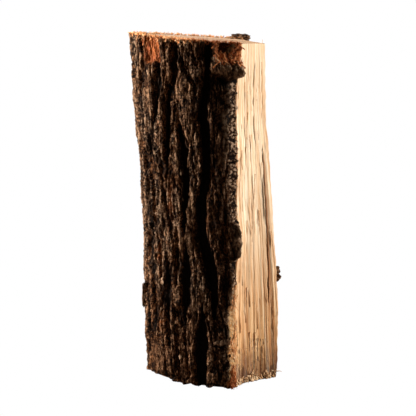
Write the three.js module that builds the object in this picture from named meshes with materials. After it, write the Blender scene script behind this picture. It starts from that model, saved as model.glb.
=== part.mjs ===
// A length of firewood: a round log sawn square at both ends and split lengthwise,
// standing on its lower sawn end. Thick furrowed bark wraps the left, the front and the
// back; two split faces meet in a blunt ridge on the right. Millimetres, +Z up the grain.
import * as THREE from 'three';

// ---- driving dimensions (mm and degrees) ----
const LOG_LENGTH = 394.5;      // between the sawn ends, measured on the axis
const CUT_SLOPE = -0.07;       // the upper saw cut drops this much per mm to the right
const AXIS_FOOT = [29.5, -3.1];     // centre of the round section on the lower end
const AXIS_LEAN = -22;         // how far the centre moves sideways by the upper end
const BARK_THICK = 12;         // from the wood out to the tops of the ridges
const BARK_GAP = 0.35;         // clearance between the bark and the wood
const CHAMFER_FOOT = 9;        // degrees that the broken front edge of the bark leans back, at the foot
const CHAMFER_HEAD = 6.5;      // the same at the head
const CHAMFER_BACK = 4;        // the same for the broken back edge
const WAIST = 4.5;             // how far the left side is drawn in at mid length
const LIP_HEIGHT = 5;          // bark left standing above the upper cut at the back corner
const ROWS = 15;               // steps along the length
const BARK_COLS = 56;          // steps round the inside of the bark; the outside has twice as many

// Radius of the section round its centre at the lower and the upper end, by direction.
const DIRECTIONS = [20, 55, 90, 140, 180, 212, 245, 270, 300, 330];
const RADIUS_FOOT = [102, 102, 93, 94, 97, 86, 84.5, 88, 90, 90];
const RADIUS_HEAD = [92, 91, 84, 92, 94, 82, 81, 84, 87, 88];

// Direction of the front corner of the wood, and of the back corner, up the length.
const HEIGHTS = [0, 0.14, 0.26, 0.36, 0.43, 0.52, 0.63, 0.86, 0.97, 1];
const FRONT_CORNER = [276, 277.6, 279.5, 282.5, 286, 285.2, 287.7, 291, 297, 298];
const BACK_CORNER_FOOT = 54.5;
const BACK_CORNER_HEAD = 59.8;

// The blunt ridge where the two split faces meet.
const RIDGE_HEIGHTS = [0, 0.08, 0.25, 0.41, 0.57, 0.72, 0.78, 1];
const RIDGE_X = [85.5, 86.5, 86.5, 82, 77.5, 72.5, 71, 70];
const RIDGE_Y_FOOT = -31;
const RIDGE_Y_HEAD = -14;
const FACE_HOLLOW_FOOT = 7.5;  // how far the front split face dishes in
const FACE_HOLLOW_HEAD = 3;
const FACE_STEPS = [0, 0.12, 0.26, 0.42, 0.56, 0.7, 0.8, 0.85, 0.9, 1];
const BACK_STEPS = [0, 0.12, 0.25, 0.38, 0.5, 0.62, 0.74, 0.86, 1];
const CRACK_AT = 0.85;         // where the long drying crack runs across the front split face
const CRACK_DEPTH = 5;

// Main furrows in the bark: direction (degrees) and height (mm) along each, width and depth.
const FURROWS = [
  { path: [[267, 400], [263, 344], [259.5, 300], [262, 262], [255, 205], [252.6, 182], [259.7, 135], [262, 97]], width: 11, depth: 7.5 },
  { path: [[254, 86], [247, 48], [245, 0]], width: 13, depth: 7 },
  { path: [[240, 400], [238, 348], [230, 332], [227, 287], [222, 262]], width: 8, depth: 6.5 },
  { path: [[242, 284], [243, 257], [242, 232], [240, 190]], width: 9, depth: 6.5 },
  { path: [[238.5, 148], [234.5, 118], [241, 90]], width: 10, depth: 6.5 },
  { path: [[221, 367], [218, 321], [224, 240], [221, 160], [228, 70], [226, 0]], width: 6, depth: 5 },
  { path: [[204, 340], [207, 250], [203, 150], [209, 40]], width: 6, depth: 5 },
  { path: [[186, 400], [190, 300], [185, 190], [191, 80], [188, 0]], width: 7, depth: 5.5 },
  { path: [[160, 400], [166, 290], [160, 180], [168, 60]], width: 9, depth: 6.5 },
  { path: [[138, 380], [132, 260], [141, 140], [136, 0]], width: 9, depth: 7 },
  { path: [[114, 400], [109, 300], [117, 170], [110, 40]], width: 10, depth: 7 },
  { path: [[88, 400], [93, 270], [86, 150], [92, 0]], width: 9, depth: 6.5 },
  { path: [[72, 360], [69, 240], [75, 110], [70, 0]], width: 7, depth: 5.5 },
];

// Places where the outer bark has been knocked off: direction, height, half sizes, depth.
const KNOCKED = [
  { at: [286, 384], half: [15, 17], depth: 6.5 },
  { at: [213, 384], half: [11, 15], depth: 4 },
];

// ---- helpers ----
// A smooth curve through the given values.
function curve(xs, ys, x) {
  const n = xs.length;
  const slope = (i) => {
    const a = Math.max(i - 1, 0);
    const b = Math.min(i + 1, n - 1);
    return (ys[b] - ys[a]) / (xs[b] - xs[a]);
  };
  let i = 0;
  while (i < n - 2 && x > xs[i + 1]) i += 1;
  const h = xs[i + 1] - xs[i];
  const s = Math.min(Math.max((x - xs[i]) / h, 0), 1);
  return ys[i] * (1 + 2 * s) * (1 - s) ** 2 + slope(i) * h * s * (1 - s) ** 2
    + ys[i + 1] * s * s * (3 - 2 * s) - slope(i + 1) * h * s * s * (1 - s);
}

const mix = (a, b, t) => a + (b - a) * t;
const ease = (a, b, x) => {
  const s = Math.min(Math.max((x - a) / (b - a), 0), 1);
  return s * s * (3 - 2 * s);
};
const rad = (deg) => (deg * Math.PI) / 180;

function radius(deg, t) {
  const waist = WAIST * Math.sin(Math.PI * t) ** 1.5 * (1 - ease(0, 75, Math.abs(deg - 182)));
  return mix(curve(DIRECTIONS, RADIUS_FOOT, deg), curve(DIRECTIONS, RADIUS_HEAD, deg), t) - waist;
}

function onSection(deg, r, t) {
  return [AXIS_FOOT[0] + AXIS_LEAN * t + r * Math.cos(rad(deg)), AXIS_FOOT[1] + r * Math.sin(rad(deg))];
}

// Height of a point: every row is a tilted copy of the upper cut, level at the foot.
const heightOf = (x, t) => t * (LOG_LENGTH + CUT_SLOPE * x);

// How far the bark surface drops below the tops of its ridges.
function barkDrop(deg, z) {
  let drop = 0;
  for (const { path, width, depth } of FURROWS) {
    for (let i = 0; i < path.length - 1; i += 1) {
      const [d0, z0] = path[i];
      const [d1, z1] = path[i + 1];
      const s = Math.min(Math.max((z - z0) / (z1 - z0), 0), 1);
      const across = Math.abs(deg - mix(d0, d1, s)) * 1.52;
      const past = Math.max(z - Math.max(z0, z1), Math.min(z0, z1) - z, 0);
      const away = Math.hypot(across, past * 0.35) / (width / 2);
      drop = Math.max(drop, depth * (1 - ease(0.25, 1.25, away)));
    }
  }
  // Lesser ridges between the main furrows, finer on the left than at the front.
  const spacing = mix(8.5, 11, ease(225, 250, deg));
  const wander = 0.45 * Math.sin(z / 41 + deg / 13) + 0.3 * Math.sin(z / 17 - deg / 9);
  const lesser = Math.abs(Math.sin(Math.PI * (deg / spacing + wander)));
  drop = Math.max(drop, 3.4 * (1 - lesser) ** 1.4);
  for (const { at, half, depth } of KNOCKED) {
    const away = Math.max(Math.abs(deg - at[0]) / half[0], Math.abs(z - at[1]) / half[1]);
    drop = Math.max(drop, depth * (1 - ease(0.75, 1.1, away)));
  }
  return Math.min(drop, BARK_THICK - 4);
}

// A closed mesh from a list of points and triangles, turned to face outward.
function solid(name, points, triangles, colour, roughness) {
  let volume = 0;
  for (const [a, b, c] of triangles) {
    const [p, q, r] = [points[a], points[b], points[c]];
    volume += p[0] * (q[1] * r[2] - q[2] * r[1]) - p[1] * (q[0] * r[2] - q[2] * r[0])
      + p[2] * (q[0] * r[1] - q[1] * r[0]);
  }
  const index = triangles.flatMap(([a, b, c]) => (volume > 0 ? [a, b, c] : [a, c, b]));
  const geometry = new THREE.BufferGeometry();
  geometry.setAttribute('position', new THREE.Float32BufferAttribute(points.flat(), 3));
  geometry.setIndex(index);
  geometry.computeVertexNormals();
  const mesh = new THREE.Mesh(geometry, new THREE.MeshStandardMaterial({ color: colour, roughness }));
  mesh.name = name;
  return mesh;
}

// ---- wood ----
// The corners of the wood at one height, and the directions its bark side spans.
function corners(t) {
  return {
    back: mix(BACK_CORNER_FOOT, BACK_CORNER_HEAD, t),
    front: curve(HEIGHTS, FRONT_CORNER, t),
    ridge: [curve(RIDGE_HEIGHTS, RIDGE_X, t), mix(RIDGE_Y_FOOT, RIDGE_Y_HEAD, t)],
  };
}

function woodRing(t) {
  const { back, front, ridge } = corners(t);
  const ring = [];
  for (let k = 0; k <= BARK_COLS; k += 1) {
    const deg = mix(back, front, k / BARK_COLS);
    ring.push(onSection(deg, radius(deg, t) - BARK_THICK, t));
  }
  const near = ring[ring.length - 1];
  const far = ring[0];
  const hollow = mix(FACE_HOLLOW_FOOT, FACE_HOLLOW_HEAD, t);
  const crack = CRACK_DEPTH * ease(0.22, 0.36, t) * (1 - ease(0.62, 0.72, t));
  const span = Math.hypot(ridge[0] - near[0], ridge[1] - near[1]);
  const inward = [-(ridge[1] - near[1]) / span, (ridge[0] - near[0]) / span];
  for (const u of FACE_STEPS.slice(1)) {
    const dish = hollow * Math.sin(Math.PI * u ** 0.8) + (u === CRACK_AT ? crack : 0);
    const grain = 0.7 * Math.sin(u * 31 + t * 2) * (u < 1 ? 1 : 0);
    ring.push([
      mix(near[0], ridge[0], u) + inward[0] * (dish + grain),
      mix(near[1], ridge[1], u) + inward[1] * (dish + grain),
    ]);
  }
  for (const u of BACK_STEPS.slice(1, -1)) {
    const wave = 2.2 * Math.sin(u * 9 + t * 1.5) - 3 * Math.sin(Math.PI * u);
    ring.push([mix(ridge[0], far[0], u) + wave, mix(ridge[1], far[1], u)]);
  }
  return ring;
}

function wood() {
  const points = [];
  const triangles = [];
  const rings = [];
  for (let j = 0; j <= ROWS; j += 1) {
    const t = j / ROWS;
    rings.push(woodRing(t).map(([x, y]) => points.push([x, y, heightOf(x, t)]) - 1));
  }
  const around = rings[0].length;
  for (let j = 0; j < ROWS; j += 1) {
    for (let i = 0; i < around; i += 1) {
      const n = (i + 1) % around;
      triangles.push([rings[j][i], rings[j][n], rings[j + 1][n]], [rings[j][i], rings[j + 1][n], rings[j + 1][i]]);
    }
  }
  for (const [ring, t, turn] of [[rings[0], 0, true], [rings[ROWS], 1, false]]) {
    const [x, y] = onSection(0, 0, t);
    const hub = points.push([x, y, heightOf(x, t)]) - 1;
    for (let i = 0; i < around; i += 1) {
      const n = (i + 1) % around;
      triangles.push(turn ? [hub, ring[n], ring[i]] : [hub, ring[i], ring[n]]);
    }
  }
  return solid('wood', points, triangles, 0xd2a878, 0.8);
}

// ---- bark ----
function bark() {
  const points = [];
  const triangles = [];
  const inner = [];
  const outer = [];
  for (let j = 0; j <= ROWS; j += 1) {
    const t = j / ROWS;
    const { back, front } = corners(t);
    const place = (deg, r) => {
      const [x, y] = onSection(deg, r, t);
      const standing = j === ROWS ? LIP_HEIGHT * (1 - ease(70, 80, deg)) : 0;
      return points.push([x, y, heightOf(x, t) + standing]) - 1;
    };
    const inside = [];
    for (let k = 0; k <= BARK_COLS; k += 1) {
      const deg = mix(back, front, k / BARK_COLS);
      inside.push(place(deg, radius(deg, t) - BARK_THICK + BARK_GAP));
    }
    const outside = [];
    for (let k = 0; k <= 2 * BARK_COLS; k += 1) {
      const chamfer = mix(CHAMFER_FOOT, CHAMFER_HEAD, t);
      const deg = mix(back + CHAMFER_BACK, front - chamfer, k / (2 * BARK_COLS));
      outside.push(place(deg, radius(deg, t) - barkDrop(deg, t * LOG_LENGTH)));
    }
    inner.push(inside);
    outer.push(outside);
  }
  const sheet = (grid, turn) => {
    for (let j = 0; j < ROWS; j += 1) {
      for (let i = 0; i < grid[0].length - 1; i += 1) {
        const [a, b, c, d] = [grid[j][i], grid[j][i + 1], grid[j + 1][i + 1], grid[j + 1][i]];
        if (turn) triangles.push([a, c, b], [a, d, c]);
        else triangles.push([a, b, c], [a, c, d]);
      }
    }
  };
  sheet(outer, false);
  sheet(inner, true);
  // The sawn rims at the foot and the head: two outer steps to each inner one.
  for (const [j, turn] of [[0, true], [ROWS, false]]) {
    for (let k = 0; k < BARK_COLS; k += 1) {
      const [i0, i1] = [inner[j][k], inner[j][k + 1]];
      const [o0, o1, o2] = [outer[j][2 * k], outer[j][2 * k + 1], outer[j][2 * k + 2]];
      const strip = [[i0, o1, o0], [i0, i1, o1], [i1, o2, o1]];
      for (const [a, b, c] of strip) triangles.push(turn ? [a, b, c] : [a, c, b]);
    }
  }
  // The broken edges along the two split faces.
  for (const [i, o, turn] of [[0, 0, false], [BARK_COLS, 2 * BARK_COLS, true]]) {
    for (let j = 0; j < ROWS; j += 1) {
      const quad = [inner[j][i], outer[j][o], outer[j + 1][o], inner[j + 1][i]];
      const [a, b, c, d] = turn ? [...quad].reverse() : quad;
      triangles.push([a, b, c], [a, c, d]);
    }
  }
  return solid('bark', points, triangles, 0x4a3a2e, 0.95);
}

const log = new THREE.Group();
log.name = 'split_log';
log.add(wood(), bark());
export default log;
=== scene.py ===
"""A split log of firewood standing on its sawn end.

Lengths in the shape tables are millimetres, directions are degrees round the log's axis
from +X, and heights run up the grain from the lower sawn end.
"""

import math

import bmesh
import bpy
import numpy as np
from mathutils import Matrix, Vector


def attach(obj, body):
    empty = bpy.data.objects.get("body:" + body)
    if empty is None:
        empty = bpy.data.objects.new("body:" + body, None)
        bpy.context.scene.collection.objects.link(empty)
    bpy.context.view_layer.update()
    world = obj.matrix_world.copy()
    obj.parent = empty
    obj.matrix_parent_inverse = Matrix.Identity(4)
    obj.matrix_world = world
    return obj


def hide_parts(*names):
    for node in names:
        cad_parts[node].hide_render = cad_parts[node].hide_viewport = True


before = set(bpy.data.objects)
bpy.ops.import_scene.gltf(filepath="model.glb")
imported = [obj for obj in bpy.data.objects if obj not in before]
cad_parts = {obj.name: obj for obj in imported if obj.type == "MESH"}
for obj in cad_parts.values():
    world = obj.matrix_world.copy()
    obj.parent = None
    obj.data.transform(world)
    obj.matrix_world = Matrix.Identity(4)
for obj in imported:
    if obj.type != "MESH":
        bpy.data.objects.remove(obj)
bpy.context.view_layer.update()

MM = 0.001
ARC = 1.5  # millimetres of bark to one degree
LIP_HIGH = 363  # the lip of bark under the front patch
SWELL_HIGH = 171  # the swelling on the broken front edge
LEVEL_CRACK = 50  # the crack across the bark near the foot of the front corner


# ---------------------------------------------------------------- camera and light
def aim(obj, at, target):
    """Stands an object at a place, looking at a target."""
    obj.location = at
    obj.rotation_euler = (Vector(target) - Vector(at)).to_track_quat("-Z", "Y").to_euler()


def soft_light(name, at, target, width, height, watts, colour):
    lamp = bpy.data.lights.new(name, "AREA")
    lamp.shape = "RECTANGLE"
    lamp.size, lamp.size_y = width, height
    lamp.energy = watts
    lamp.color = colour
    obj = bpy.data.objects.new(name, lamp)
    bpy.context.scene.collection.objects.link(obj)
    aim(obj, at, target)


def plain_shader(tree, kind, colour, strength=None):
    made = tree.nodes.new(kind)
    made.inputs[0].default_value = (*colour, 1.0)
    if strength is not None:
        made.inputs[1].default_value = strength
    return made


def show_camera(tree, seen, unseen, end):
    """Shows one shader to the camera and another to all other rays."""
    path = tree.nodes.new("ShaderNodeLightPath")
    choose = tree.nodes.new("ShaderNodeMixShader")
    out = tree.nodes.new(end)
    for place, wire in enumerate((path.outputs["Is Camera Ray"], unseen.outputs[0], seen.outputs[0])):
        tree.links.new(wire, choose.inputs[place])
    tree.links.new(choose.outputs[0], out.inputs[0])


def studio():
    scene = bpy.context.scene
    eye = bpy.data.cameras.new("eye")
    eye.sensor_width = 36.0
    eye.lens = 141.4
    eye.clip_end = 300.0
    camera = bpy.data.objects.new("eye", eye)
    scene.collection.objects.link(camera)
    aim(camera, (0.0054, -1.9031, 0.466), (0.0054, 0.0, 0.1963))
    scene.camera = camera

    soft_light("window", (1.45, 0.12, 0.85), (0.0, 0.0, 0.25), 0.35, 0.45, 36.0, (1.0, 0.94, 0.86))
    soft_light("lamp", (-1.34, 0.2, 0.62), (0.0, 0.0, 0.2), 0.25, 0.45, 70.0, (1.0, 0.87, 0.75))
    soft_light("back fill", (-0.3, 1.7, 0.9), (0.0, 0.0, 0.2), 0.7, 0.7, 14.0, (1.0, 0.96, 0.92))

    white, warm_room, pale_stone = (1.0, 1.0, 1.0), (1.0, 0.82, 0.68), (0.26, 0.22, 0.19)
    world = bpy.data.worlds.new("room")
    scene.world = world
    world.use_nodes = True
    tree = world.node_tree
    tree.nodes.clear()
    dim = plain_shader(tree, "ShaderNodeBackground", warm_room, 0.014)
    show_camera(tree, plain_shader(tree, "ShaderNodeBackground", white, 1.0), dim, "ShaderNodeOutputWorld")

    scene.view_settings.view_transform = "Standard"
    scene.view_settings.look = "None"

    bpy.ops.mesh.primitive_plane_add(size=160.0, location=(0, 0, 0))
    floor = bpy.context.object
    floor.name = "floor"
    paint = bpy.data.materials.new("pale floor")
    paint.use_nodes = True
    tree = paint.node_tree
    tree.nodes.clear()
    matt = plain_shader(tree, "ShaderNodeBsdfDiffuse", pale_stone)
    glow = plain_shader(tree, "ShaderNodeEmission", white, 1.0)
    show_camera(tree, glow, matt, "ShaderNodeOutputMaterial")
    floor.data.materials.append(paint)


# ---------------------------------------------------------------- noise
def lattice(ix, iy, seed):
    """A fixed pseudo-random number from 0 to 1 for each whole-number place."""
    n = (ix.astype(np.int64) * 374761393 + iy.astype(np.int64) * 668265263 + seed * 974634777) & 0xFFFFFFFF
    n = ((n ^ (n >> 13)) * 1274126177) & 0xFFFFFFFF
    n = ((n ^ (n >> 15)) * 2246822519) & 0xFFFFFFFF
    return ((n ^ (n >> 16)) & 0xFFFFFFFF) / 4294967296.0


def ripple(x, y, seed):
    """Smooth random waves about one unit long, from about -1 to 1."""
    x, y = np.broadcast_arrays(np.asarray(x, float), np.asarray(y, float))
    ix, iy = np.floor(x), np.floor(y)
    fx, fy = x - ix, y - iy
    total = []
    for dx in (0, 1):
        for dy in (0, 1):
            turn = lattice(ix + dx, iy + dy, seed) * 2 * math.pi
            total.append(np.cos(turn) * (fx - dx) + np.sin(turn) * (fy - dy))
    sx = fx**3 * (fx * (fx * 6 - 15) + 10)
    sy = fy**3 * (fy * (fy * 6 - 15) + 10)
    low = total[0] * (1 - sy) + total[1] * sy
    high = total[2] * (1 - sy) + total[3] * sy
    return (low * (1 - sx) + high * sx) * 1.5


def ripples(x, y, *waves):
    """A sum of ripples: each is its height, its lengths along x and y, and its seed."""
    return sum(height * ripple(x / long_x, y / long_y, seed) for height, long_x, long_y, seed in waves)


def plates(x, y, seed):
    """Random cells one unit across: distance in from the nearest border, and a number for each cell."""
    ix, iy = np.floor(x), np.floor(y)
    first = np.full(x.shape, 9.0)
    second = np.full(x.shape, 9.0)
    name = np.zeros(x.shape)
    for dx in (-1, 0, 1):
        for dy in (-1, 0, 1):
            cx, cy = ix + dx, iy + dy
            px = cx + 0.5 + 0.85 * (lattice(cx, cy, seed) - 0.5)
            py = cy + 0.5 + 0.85 * (lattice(cx, cy, seed + 51) - 0.5)
            away = np.hypot(x - px, y - py)
            nearer = away < first
            second = np.where(nearer, first, np.minimum(second, away))
            name = np.where(nearer, lattice(cx, cy, seed + 97), name)
            first = np.where(nearer, away, first)
    return second - first, name


def ease(a, b, x):
    s = np.clip((x - a) / (b - a), 0.0, 1.0)
    return s * s * (3 - 2 * s)


def band(a, b, c, d, x):
    """Rises from a to b and falls from c to d."""
    return ease(a, b, x) * (1 - ease(c, d, x))


def bell(x, width):
    return np.exp(-((x / width) ** 2))


def mix(a, b, t):
    return a + (b - a) * t


def curve(xs, ys, x):
    """A smooth curve through the given values."""
    xs, ys, x = np.array(xs, float), np.array(ys, float), np.asarray(x, float)
    last = len(xs) - 1
    after, before = np.minimum(np.arange(last + 1) + 1, last), np.maximum(np.arange(last + 1) - 1, 0)
    lean = (ys[after] - ys[before]) / (xs[after] - xs[before])
    i = np.clip(np.searchsorted(xs, x) - 1, 0, last - 1)
    h = xs[i + 1] - xs[i]
    s = np.clip((x - xs[i]) / h, 0, 1)
    return (ys[i] * (1 + 2 * s) * (1 - s) ** 2 + lean[i] * h * s * (1 - s) ** 2
            + ys[i + 1] * s * s * (3 - 2 * s) - lean[i + 1] * h * s * s * (1 - s))


# ---------------------------------------------------------------- the log's shape
LOG_LENGTH = 394.5
CUT_SLOPE = -0.07  # the upper saw cut falls towards +X
AXIS_FOOT = (29.5, -3.1)
AXIS_LEAN = -22
BARK_THICK = 12  # from the wood to the highest ridges
THINNEST = 1.0  # bark left at the bottom of a furrow
WAIST = 4.5
DIRECTIONS = [20, 55, 90, 140, 180, 212, 245, 270, 300, 330]
RADIUS_FOOT = [102, 102, 93, 94, 97, 86, 84.5, 88, 90, 90]
RADIUS_HEAD = [92, 91, 84, 92, 94, 82, 81, 84, 87, 88]
CORNER_HEIGHTS = [0, 0.14, 0.26, 0.36, 0.43, 0.52, 0.63, 0.86, 0.97, 1]
FRONT_CORNER = [276, 277.6, 279.5, 282.5, 286, 285.2, 287.7, 291, 297, 298]
BACK_CORNER = (54.5, 59.8)
RIDGE_HEIGHTS = [0, 0.08, 0.25, 0.41, 0.57, 0.72, 0.78, 1]
RIDGE_X = [85.5, 86.5, 86.5, 82, 77.5, 72.5, 71, 70]
RIDGE_Y = (-31, -14)

# Where the outer bark stops short of the front corner: height, direction.
BARK_STOPS_Z = [0, 45, 103, 146, 155, 172, 187, 194, 240, 296, 338, 352, 359, 369, 374, 380, 396]
BARK_STOPS = [268, 270, 274, 276, 283.5, 287, 285.5, 278.5, 278, 280, 281.5, 284, 293.5, 295, 290, 288, 291]


def radius(deg, t):
    waist = WAIST * np.sin(np.pi * np.clip(t, 0, 1)) ** 1.5 * (1 - ease(0, 75, np.abs(deg - 182)))
    return mix(curve(DIRECTIONS, RADIUS_FOOT, deg), curve(DIRECTIONS, RADIUS_HEAD, deg), t) - waist


def on_section(deg, r, t):
    a = np.radians(deg)
    return AXIS_FOOT[0] + AXIS_LEAN * t + r * np.cos(a), AXIS_FOOT[1] + 0 * t + r * np.sin(a)


def height_of(x, t):
    return t * (LOG_LENGTH + CUT_SLOPE * x)


# The furrow on the left at the bottom of which the two sheets of bark meet.
SEAM = [(186, 400, 6), (190, 300, 6), (185, 190, 6), (191, 80, 6), (188, 0, 6)]

# Main furrows: a depth, and points from the top down, each a direction, a height and a width.
FURROWS = [
    (8.5, [(268.5, 400, 6), (266.5, 358, 6.5), (263, 331, 9), (260.2, 311, 12), (262.3, 289, 10),
           (261.5, 247, 10.5), (256.5, 219, 11.5), (254, 177, 14), (258.5, 155, 14), (261, 135, 14),
           (262.5, 107, 9), (261.5, 86, 4)]),
    (8.5, [(251.8, 90, 3), (251, 68, 13), (248.8, 39, 16), (247, 2, 12)]),
    (5.5, [(239.5, 398, 10), (238.2, 357, 9), (232, 332, 11)]),
    (8.0, [(230.5, 338, 6), (229.5, 325, 12), (227.2, 301, 13), (223.9, 267, 11), (221.8, 238, 4)]),
    (7.5, [(239.5, 296, 5), (242.4, 274, 10), (243.4, 246, 10.5), (242.2, 218, 9), (238.6, 186, 5)]),
    (7.5, [(240.2, 158, 4), (238.5, 135, 14), (236.5, 100, 15), (234, 76, 5)]),
    (6.5, [(218.2, 148, 5), (216.6, 117, 11), (214.5, 91, 12), (216.8, 50, 8)]),
    (6.0, [(221, 372, 9), (217.8, 342, 15), (213.5, 312, 8)]),
    (5.0, [(231.2, 176, 6), (229.6, 150, 8), (228.4, 122, 5)]),
    (5.0, [(201.2, 280, 6), (202.4, 241, 8), (205.2, 200, 5)]),
    (5.0, [(214.4, 258, 7), (218.1, 221, 8), (224.4, 182, 6)]),
    (5.0, [(274.6, 205, 4), (272.2, 176, 7), (273.6, 150, 6), (272.6, 128, 9), (271, 98, 7)]),
    (5.0, [(193.6, 262, 6), (197.8, 212, 6), (199, 160, 7), (198.4, 110, 7), (199.1, 60, 6)]),
    (4.0, [(236.6, 78, 4), (234.9, 50, 5), (237, 14, 4)]),
    (4.5, [(228, 66, 4), (225, 34, 8), (227, 0, 6)]),
    (5.5, SEAM),
    (7.5, [(160, 400, 9), (166, 290, 10), (160, 180, 8), (168, 60, 10), (165, 0, 8)]),
    (7.5, [(138, 390, 9), (132, 260, 11), (141, 140, 9), (136, 0, 10)]),
    (8.0, [(114, 400, 9), (109, 300, 12), (117, 170, 11), (110, 40, 10), (112, 0, 8)]),
    (7.5, [(88, 400, 8), (93, 270, 10), (86, 150, 11), (92, 0, 9)]),
    (6.0, [(72, 370, 7), (69, 240, 8), (75, 110, 8), (70, 0, 7)]),
    (6.0, [(149, 230, 4), (151, 170, 9), (147, 90, 7), (150, 20, 4)]),
    (6.0, [(125, 400, 5), (122, 330, 9), (126, 250, 4)]),
    (6.0, [(100, 220, 4), (103, 130, 9), (99, 50, 5)]),
    (4.0, [(177, 380, 4), (174, 300, 5), (178, 220, 4)]),
]

# Outer bark knocked away down to the red fibres: direction, height, half width, half height, depth,
# and how square the patch is.
KNOCKED = [
    (286.5, 384, 14, 13, 7.5, 2.6),
    (214.2, 382, 9.5, 17, 4.2, 6),
    (262, 400, 10, 5, 3.5, 2.6),
    (241, 402, 9, 4, 2.5, 2.6),
]
# Stains of rust-coloured inner bark on the left: direction, height, half width, half height.
RUST_STAINS = [(208, 66, 3.4, 11), (226, 212, 3.0, 16), (205, 150, 2.6, 12)]
HOLE = (281, 391)  # the dark hole in the middle of the front patch: direction, height


def along_furrow(path, z, column):
    """A furrow's direction (column 0) or width (column 2) at heights."""
    return np.interp(z, [point[1] for point in path[::-1]], [point[column] for point in path[::-1]])


def furrow_depth(deg, z):
    """How deep the main furrows cut, in millimetres."""
    cut = np.zeros(deg.shape)
    rough = ripples(deg * ARC, z, (1.5, 4, 9, 61), (0.9, 1.8, 4, 62))
    behind = 1 - ease(165, 200, deg)
    rough = rough + behind * (2.6 * np.clip(ripple(deg * ARC / 18, z / 26, 63), -0.4, 1)
                              + 1.6 * ripple(deg * ARC / 6, z / 11, 64))
    bridge = 1 - behind * ease(0.15, 0.6, ripple(deg * ARC / 30, z / 19, 65)) * 0.8
    for depth, path in FURROWS:
        past = np.maximum(np.maximum(z - path[0][1], path[-1][1] - z), 0)
        away = np.hypot((deg - along_furrow(path, z, 0)) * ARC, past * 0.4) + rough
        half = along_furrow(path, z, 2) * 0.74
        cut = np.maximum(cut, depth * bridge * (1 - ease(0.35, 1.0, away / half)))
    return cut


def above_lip(deg, z):
    """Height above the middle of the lip, which sags and waves along its length."""
    return z - LIP_HIGH - 5 * ripple(deg * ARC / 14, 0.5, 27) + 0.35 * (deg - 280)


def bark_face(deg, z):
    """Drop of the bark's face below its highest ridges, and what shows there."""
    s = deg * ARC
    side = s + ripples(s, z, (2.4, 28, 60, 1), (1.3, 9, 21, 2), (0.7, 3.5, 7, 3))
    up = z + ripples(s, z, (9, 16, 40, 4), (2, 4, 6, 5))
    left = 1 - ease(222, 244, deg)
    narrow = deg < 232
    in1a, name1a = plates(side / 10.5, up / 84, 11)
    in1b, name1b = plates(side / 17.0, up / 78, 12)
    in1 = np.where(narrow, in1a * 10.5, in1b * 17.0)
    name1 = np.where(narrow, name1a, name1b)
    in2, name2 = plates(side / 5.4 + name1 * 7, up / 38, 13)
    in3, name3 = plates(side / 2.9 + name2 * 5, up / 6.0, 14)

    strength = mix(0.6, 1.0, left) * mix(0.75, 1.0, ease(-0.3, 0.5, ripple(s / 20, z / 60, 6)))
    drop = 4.8 * strength * (1 - ease(0.4, 2.6, in1))
    drop += 1.7 * (1 - ease(0.04, 0.24, in2)) + 0.9 * (1 - ease(0.03, 0.26, in3))
    drop += 2.2 * (name1 - 0.5) + 1.4 * (name2 - 0.5) + 0.8 * (name3 - 0.5)
    named = furrow_depth(deg, z)
    drop = np.maximum(drop, 0.35 * drop + named)
    drop += ripples(s, z, (0.8, 7, 19, 7), (0.45, 2.5, 7, 8), (0.7, 1.6, 3.1, 9))
    drop += 0.7 * np.abs(ripple(s / 3.1, z / 5.5, 10)) - 0.8 * np.abs(ripple(s / 5.5, z / 24, 18))
    # Cracks across the ridges where plates have lifted.
    lifted = np.abs(ripple(s / 19, z / 13 + 0.5 * ripple(s / 6, z / 9, 16), 15))
    drop += 1.1 * (1 - ease(0.0, 0.06, lifted)) * ease(0.1, 0.4, ripple(s / 12, z / 30, 17))

    level = np.abs(z - LEVEL_CRACK - 1.5 * ripple(s / 5, 0.5, 66)) / 1.5
    drop += 3.0 * (1 - ease(0.2, 1.0, level)) * band(258, 261, 272, 275, deg)

    torn = np.zeros(deg.shape)
    for at, high, half_s, half_z, depth, square in KNOCKED:
        edge = ripples(s, z, (0.22, 7, 9, 21), (0.12, 2.5, 4, 22))
        across, up_down = np.abs((deg - at) / half_s), np.abs((z - high) / half_z)
        here = 1 - ease(0.82, 1.0, (across**square + up_down**square) ** (1 / square) + edge)
        fibre = ripples(s, z, (0.9, 1.8, 16, 23), (0.7, 5, 9, 24), (0.4, 1.1, 6, 25))
        drop = mix(drop, np.maximum(depth, 0.3 * drop + depth) + fibre, here)
        torn = np.maximum(torn, here)
    for at, high, half_s, half_z in RUST_STAINS:
        stain = bell(deg - at, half_s) * bell(z - high, half_z)
        torn = np.maximum(torn, 0.6 * stain * ease(-0.3, 0.2, ripple(s / 3, z / 5, 67)))
    hole = np.hypot((deg - HOLE[0]) / 5.2, (z - HOLE[1]) / 8.5)
    hole += ripples(s, z, (0.5, 4, 5, 19), (0.25, 1.8, 2.5, 20))
    drop += 4.0 * (1 - ease(0.5, 1.05, hole)) * torn
    # A thick lip of bark juts out under the front patch.
    sag = above_lip(deg, z)
    lip = bell(sag, 8.5) * ease(264, 272, deg) * (0.45 + 0.55 * ease(278, 291, deg))
    drop -= 6.5 * lip * (1 + 0.5 * ripple(s / 4.5, z / 4.5, 26))
    drop -= 3.4 * bell(z - LIP_HIGH + 2, 6) * bell(deg - 292, 4.5)
    drop += 6.5 * bell(sag + 12.5, 5) * ease(268, 276, deg)
    swell = bell(z - SWELL_HIGH, 15) * bell(deg - 284, 8)
    drop -= 4.0 * swell * (1 + ripples(s, z, (0.9, 6, 7, 28), (0.8, 2.4, 3.2, 29)))
    return drop, torn, name1, name2


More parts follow.
